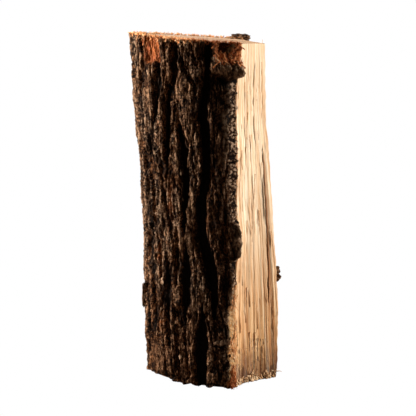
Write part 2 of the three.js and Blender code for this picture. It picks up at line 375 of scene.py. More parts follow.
# ---------------------------------------------------------------- meshes
def add_mesh(name, points, faces, values=None):
    """A mesh piece at the origin, from millimetre points; values are numbers kept on its points."""
    mesh = bpy.data.meshes.new(name)
    mesh.from_pydata((np.asarray(points) * MM).tolist(), [], faces)
    mesh.validate()
    for key, numbers in (values or {}).items():
        numbers = np.asarray(numbers, np.float32)
        kind, field = ("FLOAT", "value") if numbers.ndim == 1 else ("FLOAT_VECTOR", "vector")
        layer = mesh.attributes.new(key, kind, "POINT")
        layer.data.foreach_set(field, numbers.ravel())
    obj = bpy.data.objects.new(name, mesh)
    bpy.context.scene.collection.objects.link(obj)
    mesh.polygons.foreach_set("use_smooth", [True] * len(mesh.polygons))
    mesh.update()
    return obj


def loops_to_quads(grid, closed):
    """Quads between neighbouring rows of point numbers."""
    a, b = grid[:-1], grid[1:]
    if closed:
        quads = np.stack([a, np.roll(a, -1, 1), np.roll(b, -1, 1), b], -1)
    else:
        quads = np.stack([a[:, :-1], a[:, 1:], b[:, 1:], b[:, :-1]], -1)
    return quads.reshape(-1, 4).tolist()


def zip_strip(row_a, row_b):
    """Triangles between two rows of point numbers with different counts."""
    faces, i, j = [], 0, 0
    na, nb = len(row_a) - 1, len(row_b) - 1
    while i < na or j < nb:
        if j == nb or (i < na and (i + 1) / na <= (j + 1) / nb):
            faces.append([row_a[i], row_a[i + 1], row_b[j]])
            i += 1
        else:
            faces.append([row_a[i], row_b[j + 1], row_b[j]])
            j += 1
    return faces


def face_outward(obj):
    """Merges doubled points, then turns every face of a closed piece outward."""
    work = bmesh.new()
    work.from_mesh(obj.data)
    bmesh.ops.remove_doubles(work, verts=work.verts, dist=1e-7)
    bmesh.ops.recalc_face_normals(work, faces=work.faces)
    if work.calc_volume(signed=True) < 0:
        bmesh.ops.reverse_faces(work, faces=work.faces)
    work.to_mesh(obj.data)
    work.free()


def belongs(piece, node, coat):
    """Coats a finished piece, and says what it rides on and what it stands for."""
    piece.data.materials.append(coat)
    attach(piece, "root")
    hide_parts(node)


def corners(t):
    """Directions of the bark's two corners, and the place of the far ridge."""
    back = mix(BACK_CORNER[0], BACK_CORNER[1], t)
    front = curve(CORNER_HEIGHTS, FRONT_CORNER, t)
    z = t * LOG_LENGTH
    uneven = ripples(z, 0.5, (0.7, 34, 1, 101), (0.45, 7, 1, 102))
    ridge = curve(RIDGE_HEIGHTS, RIDGE_X, t) + uneven, mix(RIDGE_Y[0], RIDGE_Y[1], t)
    return back, front, ridge


# ---------------------------------------------------------------- bark
SEAM_STEPS, FRONT_STEPS, BACK_STEPS = 3, 20, 14  # points from the face to the wood at each edge


def bark_sheet(part):
    """One closed sheet of bark. The two sheets meet at the bottom of a furrow on the left."""
    rows, cols, inside = 320, 252, 16
    t = np.linspace(0, 1, rows + 1)[:, None]
    z0 = t * LOG_LENGTH
    back, front, _ = corners(t)
    seam = along_furrow(SEAM, z0, 0)
    stop = np.interp(z0, BARK_STOPS_Z, BARK_STOPS)
    stop = stop + ripples(z0, 0.5, (1.5, 17, 1, 30), (1.3, 8, 1, 31), (1.1, 3.5, 1, 32))
    stop = np.minimum(stop, front - 0.4)
    start = back + 4 * (1 - ease(0.93, 0.97, t)) + ripples(z0, 0.5, (0.9, 10, 1, 33), (0.6, 4, 1, 34))
    if part == "front":
        first, last, low, high, edge_a, edge_b = seam, stop, seam, front, SEAM_STEPS, FRONT_STEPS
    else:
        first, last, low, high, edge_a, edge_b = start, seam, back, seam, BACK_STEPS, SEAM_STEPS

    deg = mix(first, last, np.linspace(0, 1, cols + 1)[None, :])
    drop, torn, name1, name2 = bark_face(deg, np.broadcast_to(z0, deg.shape))
    settled = 8.6 + ripples(deg * ARC, z0, (0.9, 2.2, 5.5, 47), (0.7, 5, 14, 48))
    drop = np.where(drop > 7, mix(drop, settled, ease(7, 10, drop)), drop)
    drop = np.minimum(drop, BARK_THICK - THINNEST)
    deepest = BARK_THICK - 0.2

    def side(from_deg, to_deg, count, from_depth, seed):
        """A broken edge, or the plain wall of the seam, from the face down to the wood."""
        w = np.linspace(0, 1, count + 1)[None, 1:] + 0 * t
        z = z0 + 0 * w
        deep = mix(from_depth, deepest, w)
        inside_crumb, which = plates(deep / 3.1 + 0.5 * ripple(z / 7, deep / 5, seed), z / 4.2, seed + 1)
        lump = 1.2 * ease(0.02, 0.5, inside_crumb) - 0.66 + 1.1 * (which - 0.5)
        lump += ripples(deep, z, (0.7, 3.4, 7, seed + 2), (0.35, 1.3, 1.9, seed + 3))
        if count == SEAM_STEPS:
            lump = 0 * lump
        fade = np.sin(np.pi * w) ** 0.5
        # Here and there a crumb of the front edge hangs over the wood.
        over = np.clip(ripple(z / 5.5, 0.5, seed + 4) + 0.8 * ripple(z / 2.3, 0.5, seed + 5), 0, 1)
        over = 1.9 * over * band(0.45, 0.75, 0.9, 1.0, w) * (count == FRONT_STEPS) * ease(60, 130, z)
        turn = mix(from_deg, to_deg, w) + 1.05 * lump * fade + over
        return turn, deep + (0.6 * lump - over) * fade, w, lump, z

    deg_b, deep_b, w_b, lump_b, z_b = side(last, high, edge_b, drop[:, -1:], 35)
    deg_a, deep_a, w_a, lump_a, _ = side(first, low, edge_a, drop[:, :1], 55)
    deg_in = mix(high, low, np.linspace(0, 1, inside + 1)[None, 1:-1])

    def red_edge(w, lump, z):
        """Red inner bark lies against the wood, and shows more at the foot and the head."""
        at_foot = (1 - ease(70, 128, z)) * ease(0.05, 0.3, w + 0.12 * lump)
        at_head = ease(372, 380, z) * ease(0.1, 0.4, w)
        return np.clip(ease(0.84, 0.96, w + 0.04 * lump) + at_foot + at_head, 0, 1)

    red_b = red_edge(w_b, lump_b, z_b) if part == "front" else 0 * w_b
    red_a = ease(0.78, 0.95, w_a) * (1 - ease(0.94, 0.96, t)) if part == "back" else 0 * w_a
    ones = np.ones(deg_in.shape)
    pit_b, pit_a = (np.clip(0.42 - 0.5 * lump, 0, 1) for lump in (lump_b, lump_a))
    # Crumbly colour along the front edge and on the swelling, and a painted highlight on the lip's top-lit
    # upper edge.
    near_edge = ease(-5.5, -0.5, deg - last + 2.2 * ripple(deg * ARC / 6, z0 / 8, 49))
    crumbly_rim_and_lip_highlight = 0.5 * near_edge * (part == "front")
    crumbly_rim_and_lip_highlight = np.maximum(crumbly_rim_and_lip_highlight, 0.5 * bell(z0 - SWELL_HIGH, 13) * bell(deg - 285, 6))
    crumbly_rim_and_lip_highlight = np.maximum(crumbly_rim_and_lip_highlight, bell(above_lip(deg, z0) - 8, 1.8) * ease(266, 274, deg))
    # Painted shade: the bark is coloured darker towards the front corner and the foot, where it stands in
    # shadow, but not on the lip or the swelling, which stand out into the light.
    lit_lip_and_swelling = 0.75 * bell(z0 - LIP_HIGH - 3, 8) + 0.6 * bell(z0 - SWELL_HIGH, 14)
    painted_shade = 0.85 * ease(255, 263, deg) * (1 - lit_lip_and_swelling)
    painted_shade = painted_shade + 0.6 * (1 - ease(10, 150, z0)) * band(180, 190, 240, 262, deg)
    # The broken edge beside the wood is pale and crumbly, and its red inner bark is so only near the foot.
    pale_b = ease(0, 0.12, w_b) * (1 - red_b) + red_b * band(4, 22, 80, 135, z_b)
    # The hollow column is painted as shade in the bark's colour, darker the deeper a point lies; the tone
    # column is each plate's own tone less the painted shade.
    columns = {
        "deg": (deg, deg_b, deg_in, deg_a),
        "deep": (drop, deep_b, deepest * ones, deep_a),
        "torn": (torn, red_b, ones, red_a),
        "crumb": (crumbly_rim_and_lip_highlight, pale_b, 0 * ones, ease(0, 0.12, w_a) * (1 - red_a)),
        "hollow": (np.clip((drop + 0.6) / 8.0, 0, 1), pit_b, ones, pit_a),
        "tone": (0.6 * name1 + 0.4 * name2 - painted_shade, 0 * w_b + 0.3, 0.5 * ones, 0 * w_a + 0.5),
    }
    ring = {k: np.hstack([a, b, c, d[:, ::-1]]) for k, (a, b, c, d) in columns.items()}

    tt = t + 0 * ring["deg"]
    x, y = on_section(ring["deg"], radius(ring["deg"], tt) - ring["deep"], tt)
    z = height_of(x, tt)
    # The lower rim is chipped clear of the floor; the upper one stands above the cut at the back corner.
    s = ring["deg"] * ARC
    chips = 4.4 * np.clip(0.15 + ripple(s / 10, 0.5, 41), 0, 1)
    chips = chips + 1.4 * np.clip(ripple(s / 2.8, 0.5, 42), 0, 1)
    worn = 5.0 * band(165, 190, 205, 226, ring["deg"])
    foot = (chips + worn) * np.clip(1 - ring["deep"] / BARK_THICK, 0, 1) ** 0.5
    head = 2.2 * (1 - ease(69, 75, ring["deg"])) - 1.6 * np.clip(ripple(s / 5, 0.5, 43), 0, 1)
    head += 1.2 * band(120, 150, 195, 225, ring["deg"]) * (0.6 + ripple(s / 9, 0.5, 44))
    z = np.maximum(z + foot * (1 - ease(0, 0.02, tt)) + head * ease(0.975, 1.0, tt), 0)

    points = np.stack([x, y, z], -1).reshape(-1, 3)
    n = x.shape[1]
    grid = np.arange((rows + 1) * n).reshape(rows + 1, n)
    faces = loops_to_quads(grid, closed=True)
    kept = {k: [ring[k].reshape(-1)] for k in ("hollow", "torn", "crumb", "tone")}

    # The rims at the foot and the head, with two rows across the thickness.
    shells, count = [points], len(points)
    order = np.concatenate([np.arange(n - edge_a, n), np.arange(0, cols + 1 + edge_b)])
    hidden = np.arange(cols + 1 + edge_b, n - edge_a)[::-1]
    k = np.arange(len(order))
    for j in (0, rows):
        outer = last_row = grid[j][order]
        inner = grid[j][np.concatenate([[order[0]], hidden, [order[-1]]])]
        rim = points[outer]
        centre = np.array([float(v) for v in on_section(0, 0, t[j, 0])])
        above = rim[:, 2] - height_of(rim[:, 0], t[j, 0])
        away = rim[:, :2] - centre
        away /= np.linalg.norm(away, axis=1)[:, None]
        for w, red in ((0.3, 0.85 if j else 0.35), (0.65, 1.0 if j else 0.85)):
            shell = rim.copy()
            shell[:, :2] -= away * ((deepest - ring["deep"][j][order]) * w)[:, None]
            shell[:, 2] = height_of(shell[:, 0], t[j, 0]) + above * (1 - 0.3 * w)
            if j:
                shell[:, 2] += 0.3 * ripple(k / 2.0, w * 9, 45)
            shell[0], shell[-1] = rim[0], rim[-1]
            shells.append(shell)
            kept["hollow"].append(0.5 + 0.3 * ripple(k / 4, w * 5, 46))
            for key, number in (("torn", red), ("crumb", 0.2 if j else 0.7), ("tone", 0.4)):
                kept[key].append(np.full(len(k), number))
            row = np.arange(count, count + len(k))
            count += len(k)
            faces += loops_to_quads(np.stack([last_row, row]), closed=False)
            last_row = row
        faces += zip_strip(last_row.tolist(), inner.tolist())
    values = {key: np.concatenate(numbers) for key, numbers in kept.items()}
    piece = add_mesh("bark_" + part, np.vstack(shells), faces, values)
    face_outward(piece)
    return piece


# ---------------------------------------------------------------- wood
FRONT_FACE_WIDE = 74
BACK_FACE_WIDE = 108
DISH_FOOT, DISH_HEAD = 7.5, 3.0  # how far the front split face is hollowed


def steps_of(jump, start):
    """Turns smooth waves into level steps; start is where in each unit the next rise begins."""
    return np.floor(jump) + ease(start, 1.0, jump - np.floor(jump))


def split_profile(w, t, z, along=None):
    """How far the front split face sits in from a flat line between its corners, and what shows there:
    painted shade in its cracks, and a stain.
    """
    across = (w if along is None else along) * FRONT_FACE_WIDE
    dish = mix(DISH_FOOT, DISH_HEAD, t) * np.sin(np.pi * w**0.8)
    grain = ripples(across, z, (0.42, 5.5, 700, 71), (0.24, 2.2, 480, 72))
    grain += 0.10 * ripple(across / 0.9, z / 300, 73)
    # Ledges where the split jumped from one year's growth to the next.
    bent = across / 9 + 0.1 * ripple(across / 20, z / 160, 75)
    ledge = 0.34 * steps_of(ripple(bent, z / 800, 76) * 3.2, 0.82)
    # The long drying crack near the far ridge, and the groove beside it.
    line = np.interp(t, [0.15, 0.36, 0.65], [0.80, 0.85, 0.875]) + 0.006 * ripple(z / 22, 0.5, 77)
    length = band(0.20, 0.32, 0.66, 0.71, t)
    width = 0.017 * (0.4 + 0.8 * length) * (1 + 0.4 * ripple(z / 13, 0.5, 79))
    crack = 5.0 * length * (1 - ease(0.2, 1.0, np.abs(w - line) / width))
    beside = 1.4 * band(0.46, 0.5, 0.58, 0.62, t) * (1 - ease(0.2, 1.0, np.abs(w - line + 0.05) / 0.03))
    # A short broken line nearer the bark, high on the face.
    near = 0.69 + 0.02 * (1 - t)
    short = 1.1 * band(0.70, 0.72, 0.93, 0.95, t) * (1 - ease(0.2, 1.0, np.abs(w - near) / 0.013))
    short = short * ease(-0.25, 0.1, ripple(z / 17, 0.5, 78))
    # Painted shade: the crack, the groove beside it and the short line are coloured dark.
    dark = np.clip(crack / 1.5 + 0.5 * beside + 0.6 * short, 0, 1)
    stain = band(0.0, 0.012, 0.035, 0.075, w - line) * band(0.12, 0.35, 0.64, 0.7, t)
    return dish + grain + ledge + crack + beside + short, dark, stain


CHECK_DEEP = 3.0
# Drying checks in the upper sawn end: direction, start and end from the pith, and width.
CHECKS = [(24, 0, 52, 1.5), (143, 0, 63, 1.7), (262, 0, 46, 1.3), (92, 30, 71, 1.0), (205, 36, 74, 1.1)]


def checks(x, y):
    """How deep the drying checks open at places on the sawn end, measured from the pith."""
    reach = np.hypot(x, y)
    turn = np.degrees(np.arctan2(y, x)) % 360
    turn = turn + 2.2 * ripple(reach / 13, 0.5, 97) + 0.9 * ripple(reach / 4, 0.5, 98)
    deep = np.zeros(x.shape)
    for at, start, end, width in CHECKS:
        off = (turn - at + 180) % 360 - 180
        aside = np.abs(np.sin(np.radians(off))) * reach + np.where(np.abs(off) > 60, 99, 0)
        along = band(start - 6, start + 9, end - 16, end, reach)
        gap = 1 - ease(0.2, 1.0, aside / (width * (0.35 + 0.65 * along)))
        deep = np.maximum(deep, CHECK_DEEP * gap * along)
    return deep


def make_wood():
    rows, n_bark, n_front, n_back = 224, 96, 120, 118
    t = np.linspace(0, 1, rows + 1)[:, None]
    back, front, ridge = corners(t)
    z0 = t * LOG_LENGTH
    u = np.linspace(0, 1, n_bark + 1)[None, :]
    deg = mix(back, front, u)
    tt = np.broadcast_to(t, deg.shape)
    bx, by = on_section(deg, radius(deg, tt) - BARK_THICK - 0.1, tt)
    near_x, near_y, far_x, far_y = bx[:, -1:], by[:, -1:], bx[:, :1], by[:, :1]

    def face_between(ax, ay, cx, cy, count, inset):
        """A face between two corners, and the same places on a flat sheet between straight corners."""
        w = np.linspace(0, 1, count + 1)[None, 1:]
        span = np.hypot(cx - ax, cy - ay)
        nx, ny = -(cy - ay) / span, (cx - ax) / span
        px, py = mix(ax, cx, w), mix(ay, cy, w)
        sax, say, scx, scy = (mix(v[0, 0], v[-1, 0], t) for v in (ax, ay, cx, cy))
        sx, sy = scx - sax, scy - say
        along = ((px - sax) * sx + (py - say) * sy) / (sx**2 + sy**2)
        deep, dark, stain = inset(w, along)
        return px + nx * deep, py + ny * deep, mix(sax, scx, along), mix(say, scy, along), dark, stain

    def front_inset(w, along):
        deep, dark, stain = split_profile(np.broadcast_to(w, along.shape), t, z0, along)
        return deep * ease(0, 0.03, w) * (1 - 0.7 * ease(0.97, 1.0, w)), dark, stain

    def back_inset(w, along):
        across, z = along * BACK_FACE_WIDE + 300, z0
        grain = ripples(across, z, (0.6, 6.5, 420, 81), (0.4, 2.6, 260, 82))
        grain += 0.22 * ripple(across / 1.0, z / 150, 83)
        bent = across / 13 + 0.2 * ripple(across / 25, z / 130, 84)
        ledge = 0.8 * steps_of(ripple(bent, z / 500, 85) * 3.4, 0.85)
        check = 2.6 * (1 - ease(0.0, 0.008, np.abs(w - 0.37 - 0.01 * ripple(z / 40, 0.5, 86))))
        check = check * band(0.1, 0.2, 0.8, 0.9, t)
        wave = (2.2 + 1.5 * np.sin(w * 8 + t * 1.5)) * np.sin(np.pi * w)
        deep = (wave + grain + ledge + check) * ease(0, 0.02, w) * (1 - ease(0.985, 1.0, w))
        return deep, np.clip(check / 2, 0, 1), 0 * check

    fx, fy, even_fx, even_fy, crack_shade_f, stain_f = face_between(near_x, near_y, *ridge, n_front, front_inset)
    second = face_between(fx[:, -1:], fy[:, -1:], far_x, far_y, n_back, back_inset)
    kx, ky, even_kx, even_ky, crack_shade_k, stain_k = (v[:, :-1] for v in second)
    x = np.hstack([bx, fx, kx])
    y = np.hstack([by, fy, ky])
    shape = x.shape
    tt = np.broadcast_to(t, shape)
    z = height_of(x, tt)
    # Splintered lower and upper edges of the split faces.
    k = np.arange(shape[1])[None, :]
    on_split = ease(n_bark + 1, n_bark + 4, k)
    rag = np.clip(ripples(k, 0.5, (0.8, 2.6, 1, 91), (0.9, 8.0, 1, 92)), 0, 1.5)
    z = z + on_split * 4.6 * rag * (1 - ease(0, 0.014, tt))
    z = z - on_split * 0.8 * np.clip(ripple(k / 2.3, 0.5, 93), 0, 1) * ease(0.99, 1.0, tt)
    z = np.maximum(z, 0)
    points = np.stack([x, y, z], -1).reshape(-1, 3)
    n = shape[1]
    grid = np.arange((rows + 1) * n).reshape(rows + 1, n)
    faces = loops_to_quads(grid, closed=True)

    clear = np.zeros((rows + 1, n_bark + 1))
    skin = 1 - ease(0.0, 0.05, np.linspace(0, 1, n_front + 1)[None, 1:]) * np.ones((rows + 1, 1))
    sets = {
        "dark": np.hstack([clear, crack_shade_f, crack_shade_k]),
        "rind": np.hstack([clear + 1, skin, 0 * crack_shade_k]),
        "stain": np.hstack([clear, stain_f, stain_k]),
        "heart_side": np.hstack([clear, 0 * crack_shade_f, 0 * crack_shade_k + 1]),
        "sawn": np.zeros(shape),
        "check": np.zeros(shape),
    }
    sets = {key: [numbers.reshape(-1)] for key, numbers in sets.items()}

    # The grain is read from the even faces, so that it stays straight over the ledges.
    cx, cy = on_section(0, 0, tt)
    grain_x = np.hstack([bx, even_fx, even_kx]) - cx
    grain_y = np.hstack([by, even_fy, even_ky]) - cy
    store = [np.stack([grain_x, grain_y, z], -1).reshape(-1, 3) * MM]
    all_points, count = [points], len(points)
    for j, steps in ((0, 5), (rows, 34)):
        here = points[grid[j]]
        mid = np.array([float(cx[j, 0]), float(cy[j, 0])])
        flat = here.copy()
        flat[:, 2] = height_of(flat[:, 0], t[j, 0])
        last = grid[j]
        for i in range(steps):
            w = 1 - i / steps if i else 0.992
            ring = flat.copy()
            ring[:, :2] = mid + (flat[:, :2] - mid) * w
            ring[:, 2] = height_of(ring[:, 0], t[j, 0])
            gap = np.zeros(n)
            if j:
                rx, ry = ring[:, 0], ring[:, 1]
                saw = 0.22 * ripple(ry / 2.4 + 0.4 * ripple(rx / 30, ry / 30, 95), rx / 60, 94)
                saw += 0.18 * ripple(rx / 3.0, ry / 3.0, 96)
                gap = checks(rx - mid[0], ry - mid[1])
                ring[:, 2] += saw * ease(1.0, 0.97, w) - gap * ease(1.0, 0.985, w)
            all_points.append(ring)
            store.append(np.stack([ring[:, 0] - mid[0], ring[:, 1] - mid[1], ring[:, 2]], -1) * MM)
            shown = {"check": gap / CHECK_DEEP, "sawn": np.ones(n),
                     "rind": np.where(np.arange(n) <= n_bark, ease(0.955, 0.985, w), 0.0)}
            for key in sets:
                sets[key].append(shown.get(key, np.zeros(n)))
            now = np.arange(count, count + n)
            count += n
            faces += loops_to_quads(np.stack([last, now]), closed=True)
            last = now
        tip = np.array([[mid[0], mid[1], float(height_of(mid[0], t[j, 0]))]])
        all_points.append(tip)
        store.append(np.array([[0, 0, tip[0, 2]]]) * MM)
        for key in sets:
            sets[key].append(np.array([1.0 if key == "sawn" else 0.0]))
        faces += [[int(last[i]), int(last[(i + 1) % n]), count] for i in range(n)]
        count += 1
    values = {key: np.concatenate(numbers) for key, numbers in sets.items()}
    piece = add_mesh("split_wood", np.vstack(all_points), faces, values | {"grain": np.vstack(store)})
    face_outward(piece)
    return piece


# ---------------------------------------------------------------- shader maths
def operator(kind, swap=False):
    def work(self, other):
        a, b = (other, self) if swap else (self, other)
        return self.shop.node("ShaderNodeMath", {"operation": kind}, {0: a, 1: b})

    return work


class Wire:
    """A value, colour or vector inside a material, on which sums can be written."""

    def __init__(self, shop, socket):
        self.shop, self.socket = shop, socket

    __add__, __radd__ = operator("ADD"), operator("ADD", swap=True)
    __sub__, __rsub__ = operator("SUBTRACT"), operator("SUBTRACT", swap=True)
    __mul__, __rmul__ = operator("MULTIPLY"), operator("MULTIPLY", swap=True)

    def between(self, low, high):
        """0 below low, 1 above high, smooth between."""
        return self.shop.node("ShaderNodeMapRange", {"interpolation_type": "SMOOTHSTEP"},
                              {0: self, 1: low, 2: high, 3: 0.0, 4: 1.0})


class Shop:
    """Builds one material."""

    def __init__(self, name):
        self.material = bpy.data.materials.new(name)
        self.material.use_nodes = True
        self.tree = self.material.node_tree
        self.tree.nodes.clear()
        self.out = self.tree.nodes.new("ShaderNodeOutputMaterial")

    def node(self, kind, settings=None, inputs=None, output=0):
        made = self.tree.nodes.new(kind)
        for key, value in (settings or {}).items():
            if key == "stops":
                ramp = made.color_ramp
                while len(ramp.elements) < len(value):
                    ramp.elements.new(0.5)
                for element, (place, colour) in zip(ramp.elements, value):
                    element.position, element.color = place, (*colour, 1.0)
            else:
                setattr(made, key, value)
        for key, value in (inputs or {}).items():
            socket = made.inputs[key]
            if isinstance(value, Wire):
                self.tree.links.new(value.socket, socket)
            else:
                if socket.type == "RGBA" and len(value) == 3:
                    value = (*value, 1.0)
                socket.default_value = value
        return Wire(self, made.outputs[output])

    def place(self):
        return self.node("ShaderNodeTexCoord", output="Object")

    def kept(self, name, output="Fac"):
        return self.node("ShaderNodeAttribute", {"attribute_name": name}, output=output)

    def absolute(self, value):
        return self.node("ShaderNodeMath", {"operation": "ABSOLUTE"}, {0: value})

    def stretch(self, vector, up, aside=1.0):
        """Places whose height, or X, counts for less, so that marks come out longer that way."""
        scale = (aside, 1.0, up)
        return self.node("ShaderNodeVectorMath", {"operation": "MULTIPLY"}, {0: vector, 1: scale})

    def speckle(self, vector, scale, detail=3.0, rough=0.55, up=1.0):
        return self.node("ShaderNodeTexNoise", {"noise_dimensions": "3D"},
                         {"Vector": vector if up == 1.0 else self.stretch(vector, up),
                          "Scale": scale, "Detail": detail, "Roughness": rough})

    def hairlines(self, grain, up, scale, level, sharp):
        """1 on thin lines up the grain, where a slow noise crosses a level, and below 0 away from them."""
        away = self.absolute(self.speckle(grain, scale, 1.0, 0.5, up) - level)
        return 1.0 - away * sharp

    def blend(self, amount, a, b):
        """Goes from colour a to colour b as the amount goes from 0 to 1."""
        return self.node("ShaderNodeMix", {"data_type": "RGBA", "clamp_factor": True},
                         {0: amount, 6: a, 7: b}, output=2)

    def layers(self, under, *over):
        """Lays colours over one another, each by its own amount."""
        for amount, colour in over:
            under = self.blend(amount, under, colour)
        return under

    def ramp(self, value, stops):
        return self.node("ShaderNodeValToRGB", {"stops": stops}, {0: value})

    def bump(self, height, strength, distance):
        inputs = {"Strength": strength, "Distance": distance, "Height": height}
        return self.node("ShaderNodeBump", {}, inputs)

    def finish(self, colour, roughness, normal, specular=0.3):
        shader = self.node("ShaderNodeBsdfPrincipled", {},
                           {"Base Color": colour, "Roughness": roughness, "Normal": normal})
        shader.socket.node.inputs["Specular IOR Level"].default_value = specular
        self.tree.links.new(shader.socket, self.out.inputs[0])
        return self.material


def bark_finish():
    shop = Shop("furrowed bark")
    here = shop.place()
    hollow, torn, crumb, tone = (shop.kept(k) for k in ("hollow", "torn", "crumb", "tone"))
    patch = shop.speckle(here, 26.0, 2.0, up=0.5)
    flecks = shop.speckle(here, 400.0, 5.0, 0.75, up=0.65)
    fibres = shop.speckle(here, 650.0, 3.0, 0.6, up=0.09)
    grit = shop.speckle(here, 480.0, 4.0, 0.85, up=0.75)
    mottle = shop.speckle(here, 200.0, 2.0, 0.6, up=0.6)
    # Painted shade: the colour darkens as the hollow value rises, to near black in the furrows and pits,
    # and with the painted shade carried in tone; the noises add the bark's own mottling.
    height = 0.90 + tone * 0.22 - hollow + (flecks - 0.5) * 0.4 + (grit - 0.5) * 1.6 + (mottle - 0.5) * 0.9
    plate = shop.ramp(height, [(0.15, (0.004, 0.0018, 0.001)), (0.5, (0.018, 0.0075, 0.0035)),
                               (0.72, (0.075, 0.032, 0.014)), (0.88, (0.17, 0.085, 0.043)),
                               (1.0, (0.38, 0.225, 0.13))])
    grey = shop.ramp(height, [(0.15, (0.004, 0.0024, 0.0018)), (0.5, (0.016, 0.009, 0.006)),
                              (0.74, (0.075, 0.043, 0.026)), (0.9, (0.19, 0.12, 0.075)),
                              (1.0, (0.40, 0.28, 0.19))])
    skin = shop.blend((patch * 0.75 + tone * 0.5).between(0.45, 0.78), plate, grey)
    warm = shop.speckle(here, 75.0, 3.0, 0.6, up=0.35)
    russet = (fibres * 0.35 + warm * 0.65).between(0.47, 0.58) * hollow.between(0.02, 0.3)
    russet = russet * (1.0 - hollow.between(0.6, 0.85))
    rust = shop.ramp(grit, [(0.38, (0.02, 0.007, 0.003)), (0.5, (0.17, 0.065, 0.022)),
                            (0.62, (0.42, 0.19, 0.08))])
    # Pale ridge tops, partly the bark's own grey and partly painted highlight, kept out of the hollows.
    pale_ridges_and_highlights = (grit * 0.6 + mottle * 0.4).between(0.54, 0.64) * (1.0 - hollow.between(0.25, 0.6))
    dull = (patch * 0.6 + warm * 0.4).between(0.42, 0.56)
    # Painted shade: near-black specks stand for the shade in small gaps between the grains.
    gap = (0.54 - grit * 0.65 - mottle * 0.35).between(0.03, 0.07)
    lumps = shop.speckle(here, 260.0, 4.0, 0.7)
    # Crumbly edges: pale crumbs, partly painted light, with near-black painted shade in their pits.
    crumbs_and_pit_shade = shop.ramp(hollow * 0.6 + (lumps - 0.5) * 1.6 + (grit - 0.5) * 1.2,
                       [(0.0, (0.74, 0.53, 0.37)), (0.10, (0.32, 0.18, 0.10)),
                        (0.21, (0.05, 0.022, 0.010)), (0.36, (0.002, 0.001, 0.0007))])
    skin = shop.layers(skin, (russet * 0.65, rust), (pale_ridges_and_highlights * (0.2 + dull * 0.55), (0.48, 0.31, 0.195)),
                       (gap * (0.5 + dull * 0.45), (0.006, 0.003, 0.002)), (crumb * 0.8, crumbs_and_pit_shade))
    # Red inner bark, with dark spots painted as the shade in its small holes and near-black painted shade
    # in the deep hole of the front patch, and orange where it is crumbly.
    red = shop.ramp(fibres * 0.65 + flecks * 0.35,
                    [(0.30, (0.05, 0.013, 0.005)), (0.45, (0.26, 0.07, 0.02)),
                     (0.56, (0.58, 0.19, 0.055)), (0.72, (0.85, 0.44, 0.20))])
    orange = shop.ramp(fibres * 0.5 + flecks * 0.5,
                       [(0.34, (0.50, 0.16, 0.04)), (0.45, (0.92, 0.46, 0.17)), (0.57, (1.0, 0.76, 0.44))])
    hole_shade = (patch * 0.5 + shop.speckle(here, 170.0, 2.0) * 0.5).between(0.50, 0.60)
    red = shop.layers(red, (hole_shade * 0.85, (0.03, 0.009, 0.004)),
                      (hollow.between(0.90, 1.0) * torn * 0.9, (0.012, 0.004, 0.002)), (crumb, orange))
    skin = shop.blend(torn, skin, red)
    relief = flecks * 0.55 + grit * 0.75 + fibres * (0.1 + torn * 0.3) + lumps * crumb * 1.6
    return shop.finish(skin, 0.9 - 0.12 * flecks, shop.bump(relief, 1.0, 0.0038), 0.08)


